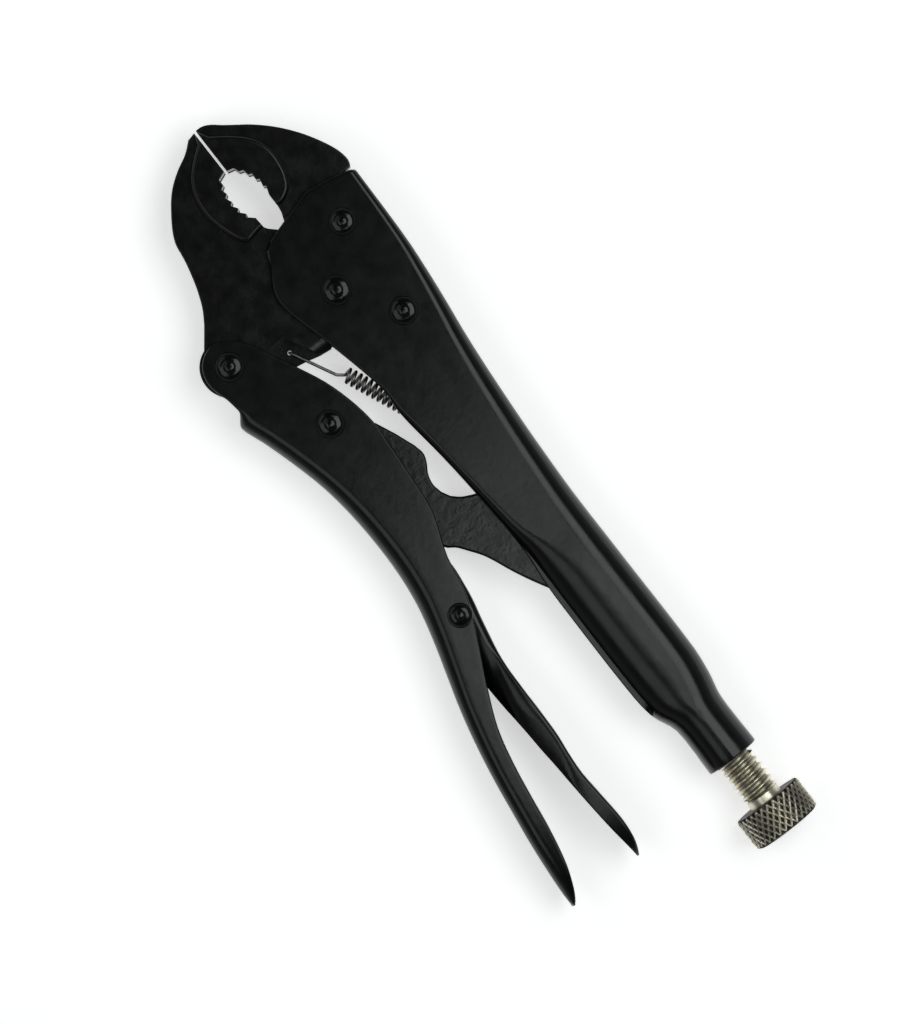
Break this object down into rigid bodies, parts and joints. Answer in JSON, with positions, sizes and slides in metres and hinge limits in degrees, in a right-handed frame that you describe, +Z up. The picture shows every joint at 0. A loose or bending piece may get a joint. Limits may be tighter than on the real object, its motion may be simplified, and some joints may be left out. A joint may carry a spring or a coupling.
{
  "type": "locking pliers",
  "caption": "Curved-jaw locking pliers with toothed jaws, sheet-steel handles, toggle link, release lever and knurled adjusting screw.",
  "frame": {"origin": "under the middle of the tool as it lies on its side, at the height of the knob's lowest point", "axes": "+X from the jaws towards the knob, +Y towards the back of the fixed handle, +Z up, along every pivot"},
  "size_m": [0.2466, 0.0764, 0.0204],
  "materials": {
    "pressed_steel": "gloss black",
    "forged_steel": "satin black over a forged surface",
    "rivet_steel": "gloss black",
    "plated_steel": "nickel plate, knurled and threaded",
    "spring_steel": "drawn wire"
  },
  "bodies": {
    "fixed_side": {"fixed_handle": "pressed_steel", "fixed_jaw": "forged_steel", "main_pivot_rivet": "rivet_steel", "front_jaw_rivet": "rivet_steel", "rear_jaw_rivet": "rivet_steel", "tension_spring": "spring_steel"},
    "jaw": {"moving_jaw": "forged_steel"},
    "grip": {"moving_handle": "pressed_steel", "jaw_handle_rivet": "rivet_steel", "link_rivet": "rivet_steel", "lever_rivet": "rivet_steel"},
    "link": {"toggle_link": "forged_steel"},
    "lever": {"release_lever": "pressed_steel"},
    "screw": {"adjusting_screw": "plated_steel"},
    "knob": {"adjusting_knob": "plated_steel"}
  },
  "joints": [
    {"name": "jaw_pivot", "type": "hinge", "parent": "fixed_side", "child": "jaw", "pos_m": [-0.06594, 0.0141, 0.0102], "axis": [0, 0, 1], "range_deg": [0, 20], "deforming": ["tension_spring"]},
    {"name": "handle_pivot", "type": "hinge", "parent": "jaw", "child": "grip", "pos_m": [-0.06734, -0.0213, 0.0102], "axis": [0, 0, 1], "range_deg": [-68.1, 0]},
    {"name": "link_pivot", "type": "hinge", "parent": "grip", "child": "link", "pos_m": [-0.03864, -0.0094, 0.0102], "axis": [0, 0, 1], "range_deg": [0, 67.1]},
    {"name": "lever_pivot", "type": "hinge", "parent": "grip", "child": "lever", "pos_m": [0.02336, -0.0136, 0.0102], "axis": [0, 0, 1], "range_deg": [-5, 0]},
    {"name": "screw_travel", "type": "slide", "parent": "fixed_side", "child": "screw", "axis": [1, 0, 0], "range_m": [0, 0.012]},
    {"name": "knob_turn", "type": "hinge", "parent": "screw", "child": "knob", "pos_m": [0.11846, 0.02085, 0.0102], "axis": [1, 0, 0], "range_deg": [0, 2058]}
  ],
  "couplings": [
    {"joint": "handle_pivot", "follows": "jaw_pivot", "ratio": -3.4},
    {"joint": "link_pivot", "follows": "jaw_pivot", "ratio": 3.35},
    {"joint": "knob_turn", "follows": "screw_travel", "rad_per_m": 2992}
  ]
}
